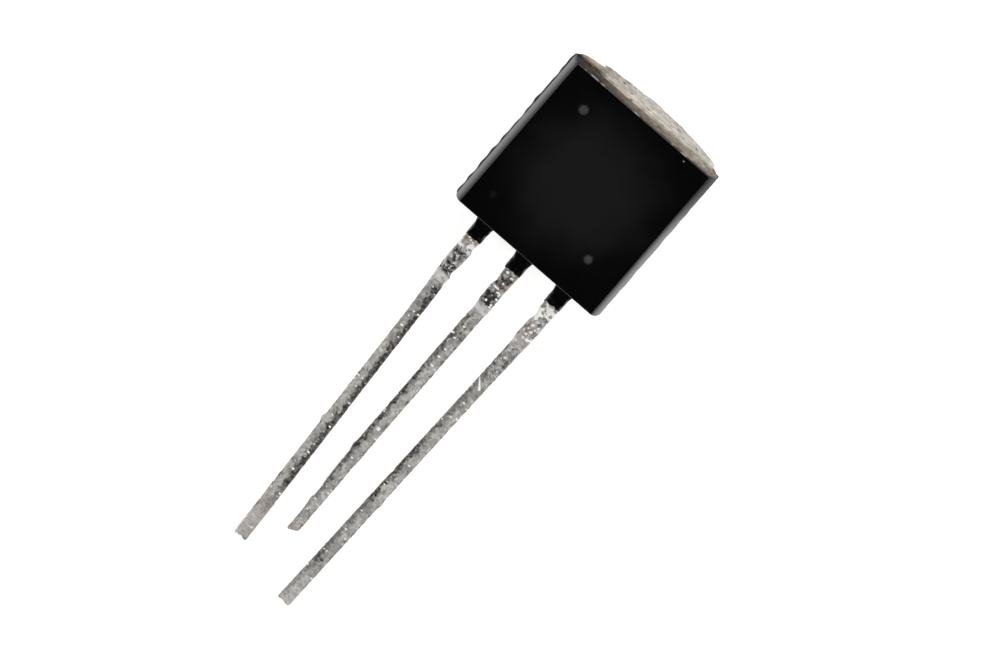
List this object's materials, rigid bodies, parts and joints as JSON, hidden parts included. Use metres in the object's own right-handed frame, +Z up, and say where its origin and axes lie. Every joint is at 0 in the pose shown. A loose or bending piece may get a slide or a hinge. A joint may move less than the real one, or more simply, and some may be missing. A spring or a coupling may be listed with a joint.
{
  "type": "to-92 transistor",
  "caption": "Loose through-hole transistor: D-shaped black epoxy case with a flat face, on a row of straight tinned leads.",
  "frame": {"origin": "on the floor under the middle of the part's box, as it lies on its round back and its outer lead tips", "axes": "+Z up, with the flat face up; +Y from the lead tips to the top of the case; +X across the flat, to the right"},
  "size_m": [0.0046, 0.0152, 0.0043],
  "materials": {
    "mould_resin": "black silica-filled epoxy, moulded, satin",
    "tinned_lead": "hot-dipped tin on copper alloy, grainy",
    "bond_layer": "silver-filled epoxy",
    "silicon": "polished silicon",
    "gold_wire": "drawn gold"
  },
  "bodies": {
    "root": {"moulded_case": "mould_resin", "left_lead": "tinned_lead", "middle_lead": "tinned_lead", "right_lead": "tinned_lead", "chip_bond_layer": "bond_layer", "silicon_chip": "silicon", "left_bond_wire": "gold_wire", "right_bond_wire": "gold_wire"}
  },
  "joints": []
}
